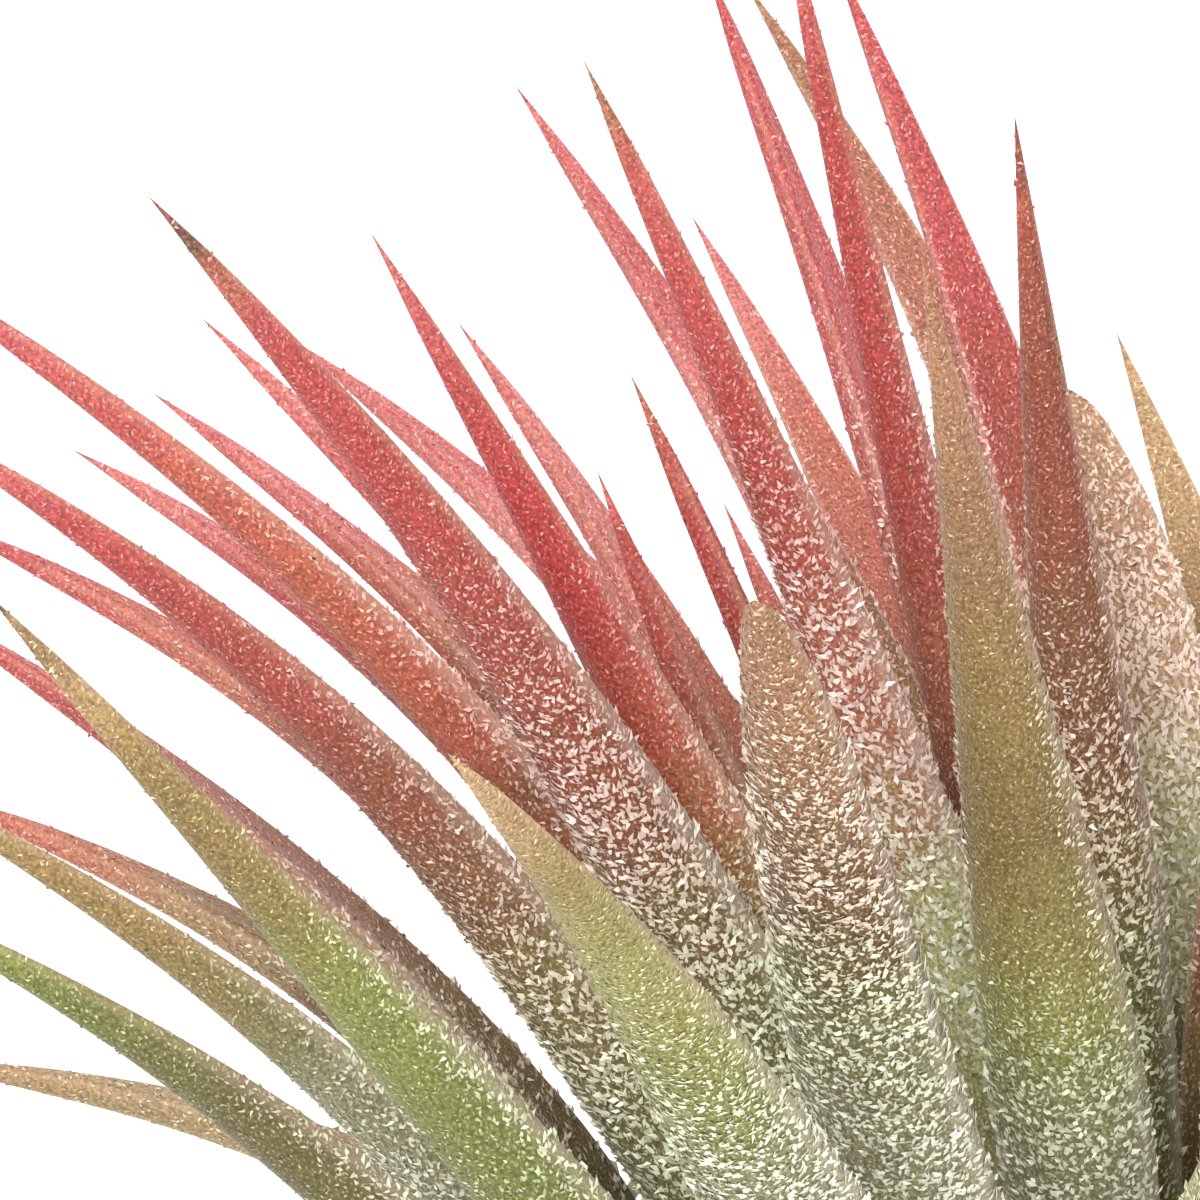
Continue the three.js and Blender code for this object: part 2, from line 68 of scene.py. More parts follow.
def leaf_rings(bm):
    """(tip, rings from the foot up), each ring going back from margin 0 over the leaf's back."""
    tip = max(bm.verts, key=lambda vert: len(vert.link_edges))
    after = {}
    for face in tip.link_faces:
        corners = [loop.vert for loop in face.loops]
        start = corners.index(tip)
        after[corners[(start + 1) % 3]] = corners[(start + 2) % 3]
    ring = [next(iter(after))]
    while len(ring) < AROUND:
        ring.append(after[ring[-1]])
    seen = {tip, *ring}
    rings = [ring]
    while len(seen) < len(bm.verts):
        rings.append(ring_below(rings[-1], seen))
        seen.update(rings[-1])
    blade = rings[BLADE_RINGS]
    widths = [sum((ring[place].co - ring[place + HALF].co).length for ring in blade)
              for place in range(HALF)]
    margin = widths.index(max(widths))
    rings = [ring[margin:] + ring[:margin] for ring in rings]
    first_side = second_side = 0
    for ring in rings[BLADE_RINGS]:
        middle = (ring[0].co + ring[HALF].co) / 2
        first_side += (ring[HALF // 2].co - middle).length
        second_side += (ring[HALF // 2 + HALF].co - middle).length
    if second_side > first_side:  # a leaf swells more over its back than into its channel
        rings = [ring[HALF:] + ring[:HALF] for ring in rings]
    return tip, rings[::-1]


# A smooth skin doesn't reach its control points. It passes each one at
# (the one before + 4 x that one + the one after) / 6, and THROUGH gives the three control points
# between two margins that bring the skin through the ring's own points.
SIXTHS = 6
THROUGH = np.linalg.inv(np.array([[4.0, 1, 0], [1, 4, 1], [0, 1, 4]]))
BACK = (0, 4, (1, 2, 3))
CHANNEL = (4, 0, (5, 6, 7))


def control_points(ring):
    """Moves a ring's points to where the smooth skin passes through their old places"""
    co = [np.array(vert.co) for vert in ring]
    for first, last, between in (BACK, CHANNEL):
        sums = np.array([SIXTHS * co[i] for i in between])
        sums[0] -= co[first]
        sums[2] -= co[last]
        for index, place in enumerate(THROUGH @ sums):
            ring[between[index]].co = place


def smooth_leaf(node):
    """A smooth closed skin over one packed leaf, with where each point lies on it as attributes:
    along is 0 at the foot and 1 at the tip, and across is -1 and 1 at the margins."""
    bm = bmesh.new()
    bm.from_mesh(node.data)
    bmesh.ops.remove_doubles(bm, verts=bm.verts, dist=TOUCHING)
    along = bm.verts.layers.float.new("along")
    across = bm.verts.layers.float.new("across")
    point = bm.verts.layers.float.new("crease_vert")
    fold = bm.edges.layers.float.new("crease_edge")
    tip, rings = leaf_rings(bm)
    middles = [sum((v.co for v in ring), Vector()) / AROUND for ring in rings] + [tip.co]
    steps = [0] + [(b - a).length for a, b in zip(middles, middles[1:])]
    reached = np.cumsum(steps)
    place_of = {}
    for level, ring in enumerate(rings):
        for place, vert in enumerate(ring):
            place_of[vert] = (level, place)
            vert[along] = reached[level] / reached[-1]
            vert[across] = (BACK_ACROSS + CHANNEL_ACROSS)[place]
    tip[along] = 1
    tip[point] = 1
    diagonals = []
    for edge in bm.edges:
        if tip in edge.verts:
            end = edge.other_vert(tip)
            edge[fold] = float(place_of[end][1] % HALF == 0)
            continue
        (level_a, place_a), (level_b, place_b) = (place_of[vert] for vert in edge.verts)
        apart = (place_a - place_b) % AROUND
        if level_a == level_b:
            if apart not in (1, AROUND - 1):
                diagonals.append(edge)
            edge[fold] = float(level_a == 0)
        elif apart:
            diagonals.append(edge)
        else:
            edge[fold] = float(place_a % HALF == 0)
    bmesh.ops.dissolve_edges(bm, edges=diagonals, use_verts=False)
    for ring in rings[1:]:
        control_points(ring)
    cage = bpy.data.meshes.new("cage")
    bm.to_mesh(cage)
    bm.free()
    shaped = bpy.data.objects.new("cage", cage)
    bpy.context.scene.collection.objects.link(shaped)
    subdivision = shaped.modifiers.new("smooth", "SUBSURF")
    subdivision.levels = subdivision.render_levels = SMOOTH_LEVELS
    graph = bpy.context.evaluated_depsgraph_get()
    skin = bpy.data.meshes.new_from_object(shaped.evaluated_get(graph))
    bpy.data.objects.remove(shaped)
    bpy.data.meshes.remove(cage)
    return skin


def shade(red, green, blue):
    """A colour as it looks on screen, in linear light."""
    return tuple(((part / 255 + 0.055) / 1.055) ** 2.4 for part in (red, green, blue))


# Colours of the skin between the scales
PALE_FOOT = shade(178, 186, 134)
FOOT = shade(138, 142, 110)
MOSS = shade(112, 116, 66)
GRASS = shade(108, 120, 48)
GREEN = shade(122, 136, 60)
LIME = shade(146, 147, 80)
HAY = shade(158, 140, 98)
OCHRE = shade(144, 122, 66)
OLIVE = shade(126, 110, 56)
# Partly painted shade: this olive is as dark as the leaf looks where it lies in shade.
DARK_OLIVE_AND_SHADE = shade(96, 92, 40)
PEAT = shade(106, 78, 42)
UMBER = shade(124, 84, 50)
RUSSET = shade(140, 68, 44)
BRICK = shade(158, 68, 56)
SIENNA = shade(176, 90, 64)
RED = shade(168, 58, 54)
CRIMSON = shade(179, 50, 50)
ROSE = shade(181, 74, 77)
MAUVE = shade(166, 102, 80)
PINK = shade(200, 112, 112)
SALMON = shade(184, 106, 86)
BRONZE = shade(144, 112, 76)
TAN = shade(166, 122, 90)
BUFF = shade(178, 143, 112)
STRAW = shade(184, 156, 114)
DRY = shade(150, 98, 64)
DARK = shade(72, 50, 38)

# What each leaf looks like from its foot to its tip: its colours, with the shares of its length at
# which each is reached, and where the silver of its thickest scales has gone. The first 34 are the
# ones that the photograph shows.
LOOKS = {
    1: dict(silver=0.8, tones=(
        (0.45, MOSS), (0.52, UMBER), (0.6, RUSSET), (0.68, BRICK), (0.8, RED), (0.94, ROSE),
        (0.98, TAN), (1, DARK))),
    2: dict(silver=0.68, tones=(
        (0.46, OLIVE), (0.54, OCHRE), (0.62, SIENNA), (0.72, RED), (0.8, CRIMSON), (0.9, ROSE),
        (1, PINK))),
    3: dict(silver=0.85, tones=(
        (0.42, PALE_FOOT), (0.48, HAY), (0.54, MAUVE), (0.62, MAUVE), (0.68, BRICK), (0.76, RED),
        (0.9, ROSE), (0.97, SALMON), (1, BRONZE))),
    4: dict(silver=0.58, tones=(
        (0.45, UMBER), (0.53, MAUVE), (0.62, BRICK), (0.7, RED), (0.93, RED), (1, PINK))),
    5: dict(silver=0.75, tones=(
        (0.4, MOSS), (0.48, OLIVE), (0.56, UMBER), (0.66, UMBER), (0.74, RUSSET), (0.9, RUSSET),
        (0.95, BRICK), (0.98, SIENNA), (1, DARK))),
    6: dict(silver=0.6, tones=(
        (0.45, OLIVE), (0.54, UMBER), (0.6, SIENNA), (0.76, SIENNA), (0.9, ROSE), (1, PINK))),
    7: dict(silver=0.72, tones=(
        (0.42, MOSS), (0.52, OLIVE), (0.6, UMBER), (0.68, RUSSET), (0.76, BRICK), (0.83, RED),
        (0.92, ROSE), (1, PINK))),
    8: dict(silver=0.62, tones=(
        (0.5, GRASS), (0.6, GRASS), (0.68, GREEN), (0.76, OLIVE), (0.9, OCHRE), (0.96, STRAW),
        (1, DARK))),
    9: dict(silver=1.12, tones=(
        (0.55, FOOT), (0.66, MOSS), (0.73, PEAT), (0.82, BRONZE), (0.94, TAN), (1, BRONZE))),
    10: dict(silver=0.84, tones=(
        (0.55, FOOT), (0.62, GREEN), (0.7, LIME), (0.8, LIME), (0.87, OCHRE), (0.94, STRAW))),
    11: dict(silver=0.56, tones=(
        (0.35, FOOT), (0.42, GREEN), (0.49, LIME), (0.55, OLIVE), (0.62, OLIVE), (0.7, OCHRE),
        (0.8, BRONZE), (0.9, TAN), (1, TAN))),
    12: dict(silver=0.62, tones=(
        (0.5, OLIVE), (0.72, RUSSET), (0.84, RED), (0.91, ROSE), (0.96, SALMON), (1, BRONZE))),
    13: dict(silver=0.62, tones=(
        (0.5, OLIVE), (0.72, UMBER), (0.79, RUSSET), (0.85, BRICK), (0.91, RED), (1, PINK))),
    14: dict(silver=0.62, tones=((0.5, OLIVE), (0.8, RUSSET), (0.88, SIENNA), (0.95, PINK))),
    15: dict(silver=0.66, tones=(
        (0.4, OLIVE), (0.6, BRONZE), (0.76, PINK), (0.9, ROSE), (1, PINK))),
    16: dict(silver=0.66, tones=(
        (0.4, OLIVE), (0.6, DRY), (0.68, SALMON), (0.84, SALMON), (0.92, PINK))),
    17: dict(silver=0.62, tones=((0.4, OLIVE), (0.6, SIENNA), (0.72, ROSE), (1, ROSE))),
    18: dict(silver=0.66, tones=(
        (0.4, OLIVE), (0.6, BRONZE), (0.72, MAUVE), (0.84, MAUVE), (0.91, DRY), (1, TAN))),
    19: dict(silver=0.66, tones=((0.4, MOSS), (0.55, DRY), (0.69, BRICK), (0.8, ROSE), (1, ROSE))),
    20: dict(silver=1.1, tones=((0.3, PALE_FOOT), (0.62, PALE_FOOT), (0.7, STRAW), (0.8, BUFF))),
    21: dict(silver=0.6, tones=((0.4, MOSS), (0.7, OCHRE), (0.85, STRAW))),
    22: dict(silver=0.6, tones=((0.4, OLIVE), (0.6, SALMON), (0.8, ROSE), (0.9, PINK))),
    23: dict(silver=0.6, tones=(
        (0.4, OLIVE), (0.7, UMBER), (0.79, SIENNA), (0.86, ROSE), (1, PINK))),
    24: dict(silver=0.6, tones=(
        (0.4, OLIVE), (0.6, SALMON), (0.83, PINK), (0.9, ROSE), (1, PINK))),
    25: dict(silver=0.66, tones=((0.4, OLIVE), (0.64, DRY), (0.75, SALMON), (0.86, PINK))),
    26: dict(silver=0.62, tones=((0.4, OLIVE), (0.7, RUSSET), (0.84, SALMON), (0.92, ROSE))),
    27: dict(silver=0.75, tones=(
        (0.4, MOSS), (0.58, OLIVE), (0.68, UMBER), (0.79, RUSSET), (0.88, BRICK), (0.95, ROSE))),
    28: dict(silver=0.75, tones=(
        (0.4, FOOT), (0.64, FOOT), (0.71, MOSS), (0.8, OCHRE), (0.92, OCHRE), (1, STRAW))),
    # Dark olive low down: partly the leaf's own colour, partly painted shade.
    29: dict(silver=0.4, tones=(
        (0.77, DARK_OLIVE_AND_SHADE), (0.86, GRASS), (0.95, GREEN), (1, STRAW))),
    30: dict(silver=0.6, tones=((0.4, MOSS), (0.7, HAY), (0.88, HAY), (1, TAN))),
    31: dict(silver=0.8, tones=((0.4, FOOT), (0.6, GREEN), (0.8, LIME), (0.95, STRAW), (1, DRY))),
    32: dict(silver=0.8, tones=((0.4, FOOT), (0.6, MOSS), (0.78, OLIVE), (0.92, BRICK), (1, TAN))),
    33: dict(silver=0.6, tones=(
        (0.4, OLIVE), (0.7, RUSSET), (0.8, RED), (0.88, ROSE), (0.95, PINK))),
    34: dict(silver=0.6, tones=(
        (0.4, MOSS), (0.71, PEAT), (0.79, HAY), (0.85, TAN), (0.92, SALMON))),
}
HIDDEN_SIDE = range(35, 51)  # from the youngest, furthest in, to the oldest
HEART = range(51, 54)
OLDEST = range(54, 60)
RED_UNTIL = 0.35  # the share of the hidden side's leaves that are flushed as deep as the heart
FLUSHED_UNTIL = 0.65  # and up to which they are flushed at all
HIDDEN_STARTS = np.array([0.4, 0.55, 0.7, 0.88])
HIDDEN_LATER = 0.08  # how much later along an older leaf its colours come


def upper_tones(age):
    if age < RED_UNTIL:
        return BRICK, RED, ROSE
    if age < FLUSHED_UNTIL:
        return RUSSET, BRICK, RED
    return GREEN, LIME, OCHRE


for number in HIDDEN_SIDE:
    age = (number - HIDDEN_SIDE[0]) / (len(HIDDEN_SIDE) - 1)
    starts = HIDDEN_STARTS + HIDDEN_LATER * (age - 0.5)
    LOOKS[number] = dict(silver=0.7, tones=(*zip(starts, (MOSS, *upper_tones(age))), (1, TAN)))
for number in HEART:
    LOOKS[number] = dict(silver=0.3, tones=((0.4, OLIVE), (0.6, BRICK), (0.8, CRIMSON), (1, ROSE)))
for number in OLDEST:
    LOOKS[number] = dict(silver=0.9, tones=(
        (0.4, FOOT), (0.65, MOSS), (0.8, OLIVE), (0.92, TAN), (1, DRY)))


def read(mesh, name):
    values = np.empty(len(mesh.vertices), np.float32)
    mesh.attributes[name].data.foreach_get("value", values)
    return values.astype(float)


def read_vectors(collection, name):
    values = np.empty(len(collection) * 3, np.float32)
    collection.foreach_get(name, values)
    return values.reshape(-1, 3).astype(float)


def smoothstep(low, high, value):
    share = np.clip((value - low) / (high - low), 0, 1)
    return share * share * (3 - 2 * share)


def unit(vectors):
    return vectors / (np.linalg.norm(vectors, axis=1, keepdims=True) + 1e-18)


def ground_at(number, along):
    """The skin's colour at each share of a leaf's length"""
    places, tones = zip(*LOOKS[number]["tones"])
    return np.stack([np.interp(along, places, part) for part in zip(*tones)], axis=1)


SILVER_GOES = 0.65  # where it starts to go, as a share of where it has gone
FLANK_ACROSS = (0.5, 0.9)  # how far across its flanks start, and where they are full
FLANK_ALONG = (0.55, 0.9)  # how far along their silver starts to go, and has gone
FLANK_SILVER = 0.75


def silver_at(number, along, across):
    """How silvery a leaf is: at its foot, and up both of its flanks almost to the tip"""
    gone = LOOKS[number]["silver"]
    foot = 1 - smoothstep(SILVER_GOES * gone, gone, along)
    flank = smoothstep(*FLANK_ACROSS, np.abs(across)) * (1 - smoothstep(*FLANK_ALONG, along))
    return np.maximum(foot, FLANK_SILVER * flank)


# How much of the sky each point of a leaf sees past the other leaves, which is what its scales
# and its colour depend on: deep in the bulb, the skin is bare, and its colour is darkened as
# painted shade.
LOOK_WAYS = 10
LOOK_REACH = 14 * MM
LOOK_START = 0.06 * MM
LOOK_SPREAD = 0.95  # under 1, so that no look goes along the skin
GOLDEN_ANGLE = np.pi * (3 - np.sqrt(5))
heights = 1 - (2 * np.arange(LOOK_WAYS) + 1) / LOOK_WAYS
turns = np.arange(LOOK_WAYS) * GOLDEN_ANGLE
WAYS = np.stack([
    np.sqrt(1 - heights**2) * np.cos(turns),
    np.sqrt(1 - heights**2) * np.sin(turns),
    heights,
], axis=1)


def openness(places, normals, all_leaves):
    """The share of the looks out from each place that no leaf stops"""
    seen = np.zeros(len(places))
    for way in WAYS:
        rays = unit(normals + LOOK_SPREAD * way)
        starts = places + normals * LOOK_START
        for index, (start, ray) in enumerate(zip(starts.tolist(), rays.tolist())):
            if all_leaves.ray_cast(start, ray, LOOK_REACH)[0] is None:
                seen[index] += 1
    return seen / LOOK_WAYS


class Surface:
    """One leaf's skin as arrays, for placing scales on it."""

    def __init__(self, number):
        self.number = number
        self.name = f"leaf_{number:02d}"
        self.skin = smooth_leaf(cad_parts[self.name])
        self.co = read_vectors(self.skin.vertices, "co")
        self.normals = read_vectors(self.skin.vertex_normals, "vector")
        self.along = read(self.skin, "along")
        self.across = read(self.skin, "across")
        self.skin.calc_loop_triangles()
        corners = np.empty(len(self.skin.loop_triangles) * 3, np.int32)
        self.skin.loop_triangles.foreach_get("vertices", corners)
        self.corners = corners.reshape(-1, 3)
        a, b, c = (self.co[self.corners[:, i]] for i in range(3))
        facing = np.cross(b - a, c - a)
        self.areas = np.linalg.norm(facing, axis=1) / 2
        steps = self.along[self.corners]
        uphill = ((steps[:, 1] - steps[:, 0])[:, None] * np.cross(unit(facing), a - c)
                  + (steps[:, 2] - steps[:, 0])[:, None] * np.cross(unit(facing), b - a))
        self.lengthwise = unit(uphill)
        at_points = np.zeros_like(self.co)
        for i in range(3):
            np.add.at(at_points, self.corners[:, i], self.lengthwise)
        self.lengthwise_at_points = unit(at_points)


surfaces = [Surface(number) for number in sorted(LOOKS)]
offsets = np.cumsum([0] + [len(s.co) for s in surfaces])
all_leaves = BVHTree.FromPolygons(
    np.concatenate([s.co for s in surfaces]).tolist(),
    np.concatenate([s.corners + start for s, start in zip(surfaces, offsets)]).tolist(),
    all_triangles=True)
for surface in surfaces:
    surface.open = openness(surface.co, surface.normals, all_leaves)

# Scales: the flat hairs that such a leaf drinks through. Each is a thin pointed wing, lying on the
# skin with its tail raised, and they stand closest at the foot and along the margins.
SCALE_LENGTHS = (0.2 * MM, 0.37 * MM)  # on green or red skin, and on silver
SCALE_WIDTHS = (0.075 * MM, 0.145 * MM)
SCALE_LIFTS = (0.04 * MM, 0.1 * MM)
SCALES_PER_MM2 = (11, 38)
OPEN_ENOUGH = 0.45  # of the sky, for as many scales as that
FACING_CAMERA = (0.35, -0.1)  # the y of a normal on skin turned wholly away, and wholly shown
REAR_SHARE = 0.2  # of the scales, on the side away from the photograph
REAR_SIZE = 1.5  # and how much larger they are there
MOST_SCALES = 200_000
SUNK = 0.5  # the head, in scale lifts
WINGS_UP = 0.4
WINGS_AT = 0.05  # past the middle of a scale's length


def wing():
    """The points and faces of one scale, one long, one wide and one high: a thin closed kite, whose
    head is sunk in the skin and whose sides and tail stand off it."""
    bm = bmesh.new()
    bmesh.ops.create_cone(bm, cap_ends=True, segments=3, radius1=0.5, radius2=0, depth=1)
    bmesh.ops.remove_doubles(bm, verts=bm.verts, dist=0.01)
    tail = max(bm.verts, key=lambda vert: vert.co.z)
    low = sorted((v for v in bm.verts if v is not tail), key=lambda vert: vert.co.y)
    head = low[-1]
    left, right = sorted(low[:2], key=lambda vert: vert.co.x)
    head.co = (-0.5, 0, -SUNK)
    left.co = (WINGS_AT, 0.5, WINGS_UP)
    right.co = (WINGS_AT, -0.5, WINGS_UP)
    tail.co = (0.5, 0, 1)
    bmesh.ops.recalc_face_normals(bm, faces=bm.faces)
    bm.verts.index_update()
    points = np.array([vert.co[:] for vert in bm.verts])
    faces = np.array([[vert.index for vert in face.verts] for face in bm.faces])
    bm.free()
    return points, faces


WING_POINTS, WING_FACES = wing()


def shown_by(normals):
    """1 where a skin faces the photograph's camera, 0 where it faces away"""
    return smoothstep(*FACING_CAMERA, normals[:, 1])


def wanted_scales(surface):
    """How many scales each of a leaf's triangles should carry"""
    corners = surface.corners
    along, across, seen = (
        values[corners].mean(axis=1) for values in (surface.along, surface.across, surface.open))
    silver = silver_at(surface.number, along, across)
    shown = shown_by(surface.normals[corners].mean(axis=1))
    low, high = SCALES_PER_MM2
    density = (low + (high - low) * silver) * smoothstep(0.0, OPEN_ENOUGH, seen)
    return surface.areas * density * (REAR_SHARE + (1 - REAR_SHARE) * shown) / MM**2


wanted = [wanted_scales(surface) for surface in surfaces]
share_made = min(1, MOST_SCALES / sum(w.sum() for w in wanted))

ASKEW = 0.7  # how far scales turn from the leaf's length, in radians
LEAST_SIZE = 0.7
MORE_SIZE = 0.6  # and how much is added to it at random
LEAST_LIFT = 0.4
MORE_LIFT = 1.2
ROLL = 0.55  # how far one side may stand above the other, in scale lifts
CURL = 0.5  # how far a tail may lean to one side, in scale widths
SCALE_WHITE = np.array([0.9, 0.89, 0.85])
SCALE_TINT = 0.27  # how much of the skin's colour shows in a white scale
WHITE_EVERYWHERE = 0.08  # how white a scale is at least, how much more so on silver, and at random
WHITE_ON_SILVER = 0.7
WHITE_AT_RANDOM = 0.4
SELDOM = 1.5
CLEAR_SCALE = 1.7  # how much lighter than the skin a scale with no white in it looks
CLEAR_GLOSS = 0.03
DULLEST = 0.84
BRIGHTER = 0.3  # and how much is added to it at random


def write_colour(mesh, name, colour):
    whole = np.column_stack([colour, np.ones(len(colour))]).astype(np.float32)
    mesh.attributes.new(name, "FLOAT_COLOR", "POINT").data.foreach_set("color", whole.ravel())


def scales(surface, wanted_here, random):
    """A mesh of the scales on one leaf, coloured one by one."""
    corners = surface.corners
    counts = np.floor(wanted_here * share_made + random.random(len(corners))).astype(int)
    on = np.repeat(np.arange(len(corners)), counts)
    share = random.random((len(on), 2))
    share = np.where(share.sum(axis=1, keepdims=True) > 1, 1 - share, share)
    weights = np.column_stack([1 - share.sum(axis=1), share])[:, :, None]
    at = (weights * surface.co[corners[on]]).sum(axis=1)
    out = unit((weights * surface.normals[corners[on]]).sum(axis=1))
    along, across = (
        (weights[:, :, 0] * values[corners[on]]).sum(axis=1)
        for values in (surface.along, surface.across))
    forward = surface.lengthwise[on]
    forward = unit(forward - out * (forward * out).sum(axis=1, keepdims=True))
    sideways = np.cross(out, forward)
    turn = random.normal(0, ASKEW, len(on))[:, None]
    ahead = forward * np.cos(turn) + sideways * np.sin(turn)
    aside = np.cross(out, ahead)
    silver = silver_at(surface.number, along, across)[:, None]
    size = LEAST_SIZE + MORE_SIZE * random.random((len(on), 3))
    size[:, 2] = LEAST_LIFT + MORE_LIFT * random.random(len(on))
    size *= (REAR_SIZE + (1 - REAR_SIZE) * shown_by(out))[:, None]
    length, width, lift = (
        (low + (high - low) * silver) * size[:, i:i + 1]
        for i, (low, high) in enumerate((SCALE_LENGTHS, SCALE_WIDTHS, SCALE_LIFTS)))
    sized = WING_POINTS[None] * np.stack([length, width, lift], axis=2)
    sized[:, :, 2] += WING_POINTS[:, 1] * random.normal(0, ROLL, (len(on), 1)) * lift
    sized[:, WING_POINTS[:, 2] == 1, 1] += random.normal(0, CURL, (len(on), 1)) * width
    points = at[:, None] + (sized[:, :, :1] * ahead[:, None] + sized[:, :, 1:2] * aside[:, None]
                            + sized[:, :, 2:] * out[:, None])
    faces = WING_FACES[None] + np.arange(len(on))[:, None, None] * len(WING_POINTS)
    mesh = bpy.data.meshes.new("scales")
    mesh.from_pydata(points.reshape(-1, 3), [], faces.reshape(-1, 3))
    own_white = WHITE_AT_RANDOM * random.random((len(on), 1)) ** SELDOM
    white = np.clip(WHITE_EVERYWHERE + WHITE_ON_SILVER * silver + own_white, 0, 1)
    ground = ground_at(surface.number, along)
    clear = np.clip(ground * CLEAR_SCALE + CLEAR_GLOSS, 0, 1)
    tint = 1 - SCALE_TINT * (1 - ground / ground.max(axis=1, keepdims=True))
    bright = DULLEST + BRIGHTER * random.random((len(on), 1))
    colour = np.clip((clear * (1 - white) + SCALE_WHITE * tint * white) * bright, 0, 1)
    write_colour(mesh, "ground", np.repeat(colour, len(WING_POINTS), axis=0))
    return mesh


class Wire:
    """A socket of a material. Arithmetic on it adds Math nodes."""

    def __init__(self, socket):
        self.socket = socket

    @classmethod
    def from_node(cls, tree, kind, settings=None, inputs=None, output=0):
        node = tree.nodes.new(kind)
        for name, value in (settings or {}).items():
            setattr(node, name, value)
        for name, value in (inputs or {}).items():
            if isinstance(value, Wire):
                tree.links.new(value.socket, node.inputs[name])
            else:
                node.inputs[name].default_value = value
        return cls(node.outputs[output])

    def beside(self, output):
        """Another output of the same node"""
        return Wire(self.socket.node.outputs[output])

    def math(self, operation, first, second=0.0, clamp=False):
        settings = dict(operation=operation, use_clamp=clamp)
        inputs = {0: first, 1: second}
        return Wire.from_node(self.socket.id_data, "ShaderNodeMath", settings, inputs)

    def __add__(self, other):
        return self.math("ADD", self, other)

    def __radd__(self, other):
        return self.math("ADD", other, self)

    def __sub__(self, other):
        return self.math("SUBTRACT", self, other)

    def __rsub__(self, other):
        return self.math("SUBTRACT", other, self)

    def __mul__(self, other):
        return self.math("MULTIPLY", self, other)

    def __rmul__(self, other):
        return self.math("MULTIPLY", other, self)

    def __truediv__(self, other):
        return self.math("DIVIDE", self, other)

    def __rtruediv__(self, other):
        return self.math("DIVIDE", other, self)

    def clamped(self):
        return self.math("ADD", self, 0.0, clamp=True)

    def stepped(self, low, high):
        """0 under low, 1 over high and smooth between."""
        settings = dict(interpolation_type="SMOOTHSTEP")
        inputs = {"Value": self, "From Min": low, "From Max": high}
        return Wire.from_node(self.socket.id_data, "ShaderNodeMapRange", settings, inputs)

    def blend(self, first, second):
        """Colour from first at 0 to second at 1."""
        inputs = {0: self, 6: first, 7: second}
        return Wire.from_node(
            self.socket.id_data, "ShaderNodeMix", dict(data_type="RGBA"), inputs, output=2)

    def times(self, other):
        """This colour times another, part by part."""
        settings = dict(data_type="RGBA", blend_type="MULTIPLY")
        inputs = {0: 1.0, 6: self, 7: other}
        return Wire.from_node(self.socket.id_data, "ShaderNodeMix", settings, inputs, output=2)

    def vector(self, operation, other=None, output=0):
        inputs = {0: self} if other is None else {0: self, 1: other}
        return Wire.from_node(self.socket.id_data, "ShaderNodeVectorMath",
                              dict(operation=operation), inputs, output)

    def scaled(self, factor):
        return Wire.from_node(self.socket.id_data, "ShaderNodeVectorMath",
                              dict(operation="SCALE"), {0: self, "Scale": factor})

    def dot(self, other):
        return self.vector("DOT_PRODUCT", other, output="Value")


def finish_named(name):
    """A new material, its tree and its shader, joined to the output."""
    material = bpy.data.materials.new(name)
    material.use_nodes = True
    tree = material.node_tree
    tree.nodes.clear()
    output = tree.nodes.new("ShaderNodeOutputMaterial")
    shader = tree.nodes.new("ShaderNodeBsdfPrincipled")
    tree.links.new(shader.outputs[0], output.inputs[0])
    return material, tree, shader


def attribute(tree, name, output="Color"):
    return Wire.from_node(tree, "ShaderNodeAttribute", dict(attribute_name=name), output=output)


def place_on(tree):
    return Wire.from_node(tree, "ShaderNodeTexCoord", output="Object")


def noise_at(tree, per_metre, detail, roughness=0.5):
    inputs = {"Vector": place_on(tree), "Scale": per_metre,
              "Detail": detail, "Roughness": roughness}
    return Wire.from_node(tree, "ShaderNodeTexNoise", {}, inputs)


FLECK_LONG = 0.085 * MM
FLECK_WIDE = 0.036 * MM
FLECK_ASKEW = 2.2
FLECK_RIM = (0.5, 1.4)  # where it starts to thin out, and where it ends


def flecks(tree, per_metre):
    """(how much of a small flat scale is at each point, a number of its own for each one). They lie
    roughly along the leaf."""
    place = place_on(tree)
    facing = place.beside("Normal")
    nearest = Wire.from_node(tree, "ShaderNodeTexVoronoi", {},
                             {"Vector": place, "Scale": per_metre}, output="Position")
    chance = nearest.beside("Color")
    away = place.vector("SUBTRACT", nearest)
    flat = away.vector("SUBTRACT", facing.scaled(away.dot(facing)))
    askew = chance.vector("SUBTRACT", (0.5, 0.5, 0.5)).scaled(FLECK_ASKEW)
    way = attribute(tree, "lengthwise", "Vector").vector("ADD", askew).vector("NORMALIZE")
    lengthways = flat.dot(way)
    squared = lengthways * lengthways
    sideways = flat.dot(flat) - squared
    spread = squared / FLECK_LONG**2 + sideways / FLECK_WIDE**2
    own = Wire.from_node(tree, "ShaderNodeSeparateColor", {}, {0: chance})
    return 1 - spread.stepped(*FLECK_RIM), own


# Painted shade: where a leaf sees little of the sky, deep between the other leaves, its skin is
# darkened towards this colour.
CREVICE_SHADE = (*shade(96, 78, 36), 1)
CREVICE_SHADE_SEES = (-0.1, 0.2)  # of the sky
# The margins are paler: partly their own thicker hairs, partly a painted sheen of those hairs seen
# edge-on.
PALE_EDGE_AND_SHEEN = (*shade(208, 172, 144), 1)
SILVER_EDGE_AND_SHEEN = (*shade(204, 190, 176), 1)
EDGE_ACROSS = (0.76, 1.0)
FLECK_WHITE = (*shade(236, 226, 206), 1)
FLECK_LIGHT = (1.4, 1.3, 1.25, 1)  # what a fleck that isn't white does to the skin's colour
FLECKS_PER_METRE = 4800
FLECK_STRENGTH = 0.6
FAINTEST = 0.3  # what is added to a fleck's own number, so that none is lost
MOTTLES_PER_METRE = 380
MOTTLE_SPAN = (0.25, 0.75)
GRAINS_PER_METRE = 8000
GRAIN_SPAN = (0.3, 0.7)
